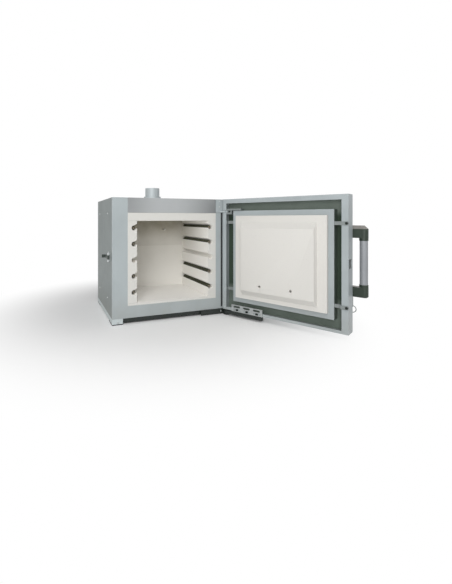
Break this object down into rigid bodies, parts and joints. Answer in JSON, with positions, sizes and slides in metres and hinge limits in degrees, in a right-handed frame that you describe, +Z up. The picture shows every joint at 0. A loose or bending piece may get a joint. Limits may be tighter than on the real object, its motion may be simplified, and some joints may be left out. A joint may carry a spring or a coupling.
{
  "type": "ceramic chamber kiln",
  "caption": "Front-loading bench kiln: sheet steel housing, fibre-lined chamber with wound heating rods in its side walls, exhaust pipe and an insulated side-hinged door.",
  "frame": {"origin": "centre of the housing's footprint, on the bench under the runners' pads", "axes": "+X to the housing's right, where the door is hinged; +Y towards the back; +Z up"},
  "size_m": [0.8952, 0.9977, 0.617],
  "materials": {
    "body_paint": "semi-gloss powder coat",
    "front_paint": "semi-gloss powder coat",
    "stainless": "satin rolled sheet",
    "runner_paint": "semi-gloss powder coat",
    "door_paint": "semi-gloss powder coat",
    "casing_paint": "semi-gloss powder coat",
    "pad_rubber": "matt",
    "seal_rubber": "matt strip",
    "fibre_board": "matt fibre board",
    "plug_fibre": "matt fibre board",
    "backing_board": "matt fibre board",
    "door_board": "matt dark board",
    "rod_ceramic": "unglazed, stained by the heat",
    "tube_ceramic": "unglazed, smooth",
    "heating_wire": "oxidised alloy wire",
    "duct_steel": "plain rolled sheet",
    "hinge_steel": "zinc plated",
    "black_steel": "satin black",
    "strap_paint": "satin",
    "pin_steel": "turned",
    "dark_bolts": "blackened",
    "bush_bronze": "turned bronze",
    "bracket_paint": "moulded",
    "grip_plastic": "anodised tube",
    "gland_plastic": "moulded"
  },
  "bodies": {
    "housing": {"back_panel": "body_paint", "back_wall_lower": "fibre_board", "back_wall_upper": "fibre_board", "bottom_backing": "backing_board", "bottom_panel": "black_steel", "cable_gland": "gland_plastic", "ceiling_slab": "fibre_board", "column_seal": "seal_rubber", "exhaust_collar": "duct_steel", "exhaust_liner": "tube_ceramic", "exhaust_pipe": "duct_steel", "floor_slab": "fibre_board", "front_frame": "front_paint", "front_header": "stainless", "hinge_pins": "pin_steel", "housing_screws": "pin_steel", "latch_leaf": "hinge_steel", "latch_pin": "pin_steel", "lead_pins": "heating_wire", "left_grooved_wall": "fibre_board", "left_heating_windings": "heating_wire", "left_runner": "runner_paint", "left_side_panel": "body_paint", "lower_hinge_bracket": "black_steel", "rear_backing": "backing_board", "rear_cover": "body_paint", "right_grooved_wall": "fibre_board", "right_heating_windings": "heating_wire", "right_runner": "runner_paint", "right_side_panel": "body_paint", "runner_pads": "pad_rubber", "side_backing": "backing_board", "support_tubes": "rod_ceramic", "terminal_strips": "tube_ceramic", "thermocouple": "tube_ceramic", "top_backing": "backing_board", "top_panel": "body_paint", "upper_hinge_lug": "hinge_steel"},
    "door": {"door_pan": "door_paint", "door_lining": "door_board", "plug_casing": "casing_paint", "plug_insulation": "plug_fibre", "air_sleeves": "tube_ceramic", "plug_straps": "strap_paint", "strap_bolts": "dark_bolts", "upper_hinge_fork": "hinge_steel", "upper_hinge_bushes": "bush_bronze", "lower_hinge_arm": "black_steel", "lower_hinge_bush": "bush_bronze", "adjusting_plate": "hinge_steel", "adjusting_bolts": "dark_bolts", "upper_handle_bracket": "bracket_paint", "lower_handle_bracket": "bracket_paint", "handle_grip": "grip_plastic", "handle_screws": "pin_steel", "latch_pocket": "black_steel", "slide_rails": "hinge_steel"},
    "latch": {"latch_arm": "black_steel"},
    "slide": {"air_slide": "hinge_steel"},
    "ring": {"pull_ring": "pin_steel"}
  },
  "joints": [
    {"name": "door_hinge", "type": "hinge", "parent": "housing", "child": "door", "pos_m": [0.261, -0.24, 0.3], "axis": [0, 0, 1], "range_deg": [-116.8, 4]},
    {"name": "latch_pivot", "type": "hinge", "parent": "housing", "child": "latch", "pos_m": [-0.2875, -0.174, 0.286], "axis": [0, 0, 1], "range_deg": [-4, 176]},
    {"name": "air_slide", "type": "slide", "parent": "door", "child": "slide", "axis": [0.4509, -0.8926, 0], "range_m": [0, 0.028]},
    {"name": "ring_swing", "type": "hinge", "parent": "slide", "child": "ring", "pos_m": [0.55023, -0.68992, 0.1236], "axis": [0.4509, -0.8926, 0], "range_deg": [-8, 80]}
  ]
}
